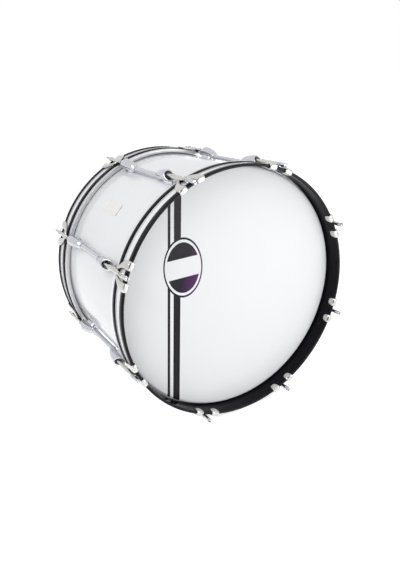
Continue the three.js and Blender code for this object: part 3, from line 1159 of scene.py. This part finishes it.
# The photograph's view, found from the edges of the hoops
camera_place = Vector((-0.5791, -1.0529, 0.4402))
camera_azimuth = radians(-29.11)
camera_elevation = radians(21.555)
camera_roll = radians(3.798)
camera_lens = 35.256
camera_film = 36

# The studio: its plain light, the dark opening that polished metal shows, and its floor
ambient_level = 0.5
opening_middle = radians(18)
opening_edge = radians(36)
opening_stretch = (1, 1, 0.35)
floor_radius = 14
floor_glow = 0.62


def add_camera():
    data = bpy.data.cameras.new("studio_camera")
    data.sensor_fit = "VERTICAL"
    data.sensor_height = camera_film
    data.lens = camera_lens
    camera = bpy.data.objects.new("studio_camera", data)
    bpy.context.scene.collection.objects.link(camera)
    along = cos(camera_elevation)
    back = Vector((sin(camera_azimuth) * along, -cos(camera_azimuth) * along, sin(camera_elevation)))
    level = (-back).to_track_quat("-Z", "Y")
    roll = Matrix.Rotation(camera_roll, 4, -back)
    camera.matrix_world = Matrix.Translation(camera_place) @ roll @ level.to_matrix().to_4x4()
    bpy.context.scene.camera = camera


def add_lamp(name, place, aim, size, power):
    data = bpy.data.lights.new(name, "AREA")
    data.shape = "RECTANGLE"
    data.size, data.size_y = size
    data.energy = power
    lamp = bpy.data.objects.new(name, data)
    bpy.context.scene.collection.objects.link(lamp)
    lamp.location = place
    lamp.rotation_euler = (Vector(aim) - Vector(place)).to_track_quat("-Z", "Y").to_euler()


def seen_directly(nodes):
    """1 for rays from the camera and for mirror or glass rays, which see the plain white background."""
    total = nodes.node("ShaderNodeLightPath", output="Is Camera Ray")
    for name in ("Is Glossy Ray", "Is Transmission Ray"):
        total = total.math("MAXIMUM", total, nodes.node("ShaderNodeLightPath", output=name))
    return total


def add_world():
    """A white tent. Only its opening, at the camera, is dark, and polished metal shows it."""
    world = bpy.data.worlds.new("white_tent")
    bpy.context.scene.world = world
    world.use_nodes = True
    world.node_tree.nodes.clear()
    nodes = Nodes(world.node_tree)
    plain = {"Color": (0.97, 0.98, 1, 1), "Strength": ambient_level}
    ambient = nodes.node("ShaderNodeBackground", inputs=plain)
    tent = nodes.node("ShaderNodeBackground", inputs={"Color": tent_colour(nodes)})
    shown = nodes.node("ShaderNodeMixShader", inputs={0: seen_directly(nodes), 1: ambient, 2: tent})
    out = world.node_tree.nodes.new("ShaderNodeOutputWorld")
    nodes.feed(out.inputs["Surface"], shown)


def tent_colour(nodes):
    """White, and for mirror rays dark in the opening, whose edge is soft."""
    middle = Vector(opening_stretch) * camera_place
    way = nodes.node("ShaderNodeTexCoord", output="Generated")
    flat = nodes.node("ShaderNodeVectorMath", {"operation": "MULTIPLY"}, {0: way, 1: opening_stretch})
    level = nodes.node("ShaderNodeVectorMath", {"operation": "NORMALIZE"}, {0: flat})
    nearness = nodes.node("ShaderNodeVectorMath", {"operation": "DOT_PRODUCT"},
                          {0: level, 1: middle.normalized()}, "Value")
    limits = {"Value": nearness, "From Min": cos(opening_edge), "From Max": cos(opening_middle)}
    opening = nodes.node("ShaderNodeMapRange", inputs=limits)
    camera_ray = nodes.node("ShaderNodeLightPath", output="Is Camera Ray")
    mirrored = nodes.node("ShaderNodeMath", {"operation": "SUBTRACT", "use_clamp": True},
                          {0: opening, 1: camera_ray})
    return nodes.mix(mirrored, (1, 1, 1), (0.02, 0.02, 0.025))


def add_floor():
    """A pale floor that glows where it is seen directly, so that only the drum's shadow shows on it."""
    bpy.ops.object.select_all(action="DESELECT")
    bpy.ops.mesh.primitive_circle_add(vertices=floor_steps, radius=floor_radius, fill_type="TRIFAN",
                                      location=(0, 0, floor_level))
    floor = active()
    apply_place()
    floor.name = "studio_floor"
    finish = Finish("pale_floor", Roughness=0.9)
    finish.set("Base Color", finish.mix(finish.noise(3, 2), (0.86, 0.86, 0.86), (0.88, 0.88, 0.88)))
    surface = Value(finish, finish.shader.outputs[0])
    glow = finish.node("ShaderNodeEmission", inputs={"Strength": floor_glow})
    glowing = finish.node("ShaderNodeAddShader", inputs={0: surface, 1: glow})
    shown = finish.node("ShaderNodeMixShader", inputs={0: seen_directly(finish), 1: surface, 2: glowing})
    finish.feed(finish.tree.nodes["Material Output"].inputs["Surface"], shown)
    set_materials(floor, finish.material)


def set_stage():
    add_camera()
    add_world()
    add_floor()
    add_lamp("right_softbox", (0.45, -1.0, -0.12), (0.1, -0.15, 0), (0.7, 1.0), 5.8)
    add_lamp("left_softbox", (-1.25, -0.6, 1.45), (0, 0, 0), (1.2, 1.2), 17)
    add_lamp("back_softbox", (0.6, 1.7, 0.05), (0, 0.2, 0), (1.4, 0.5), 6)
    add_lamp("front_softbox", (-0.2, -1.9, 0.5), (0, 0, 0), (1.6, 1.2), 3.2)
    bpy.context.scene.view_settings.view_transform = "Standard"


set_stage()
make_drum()
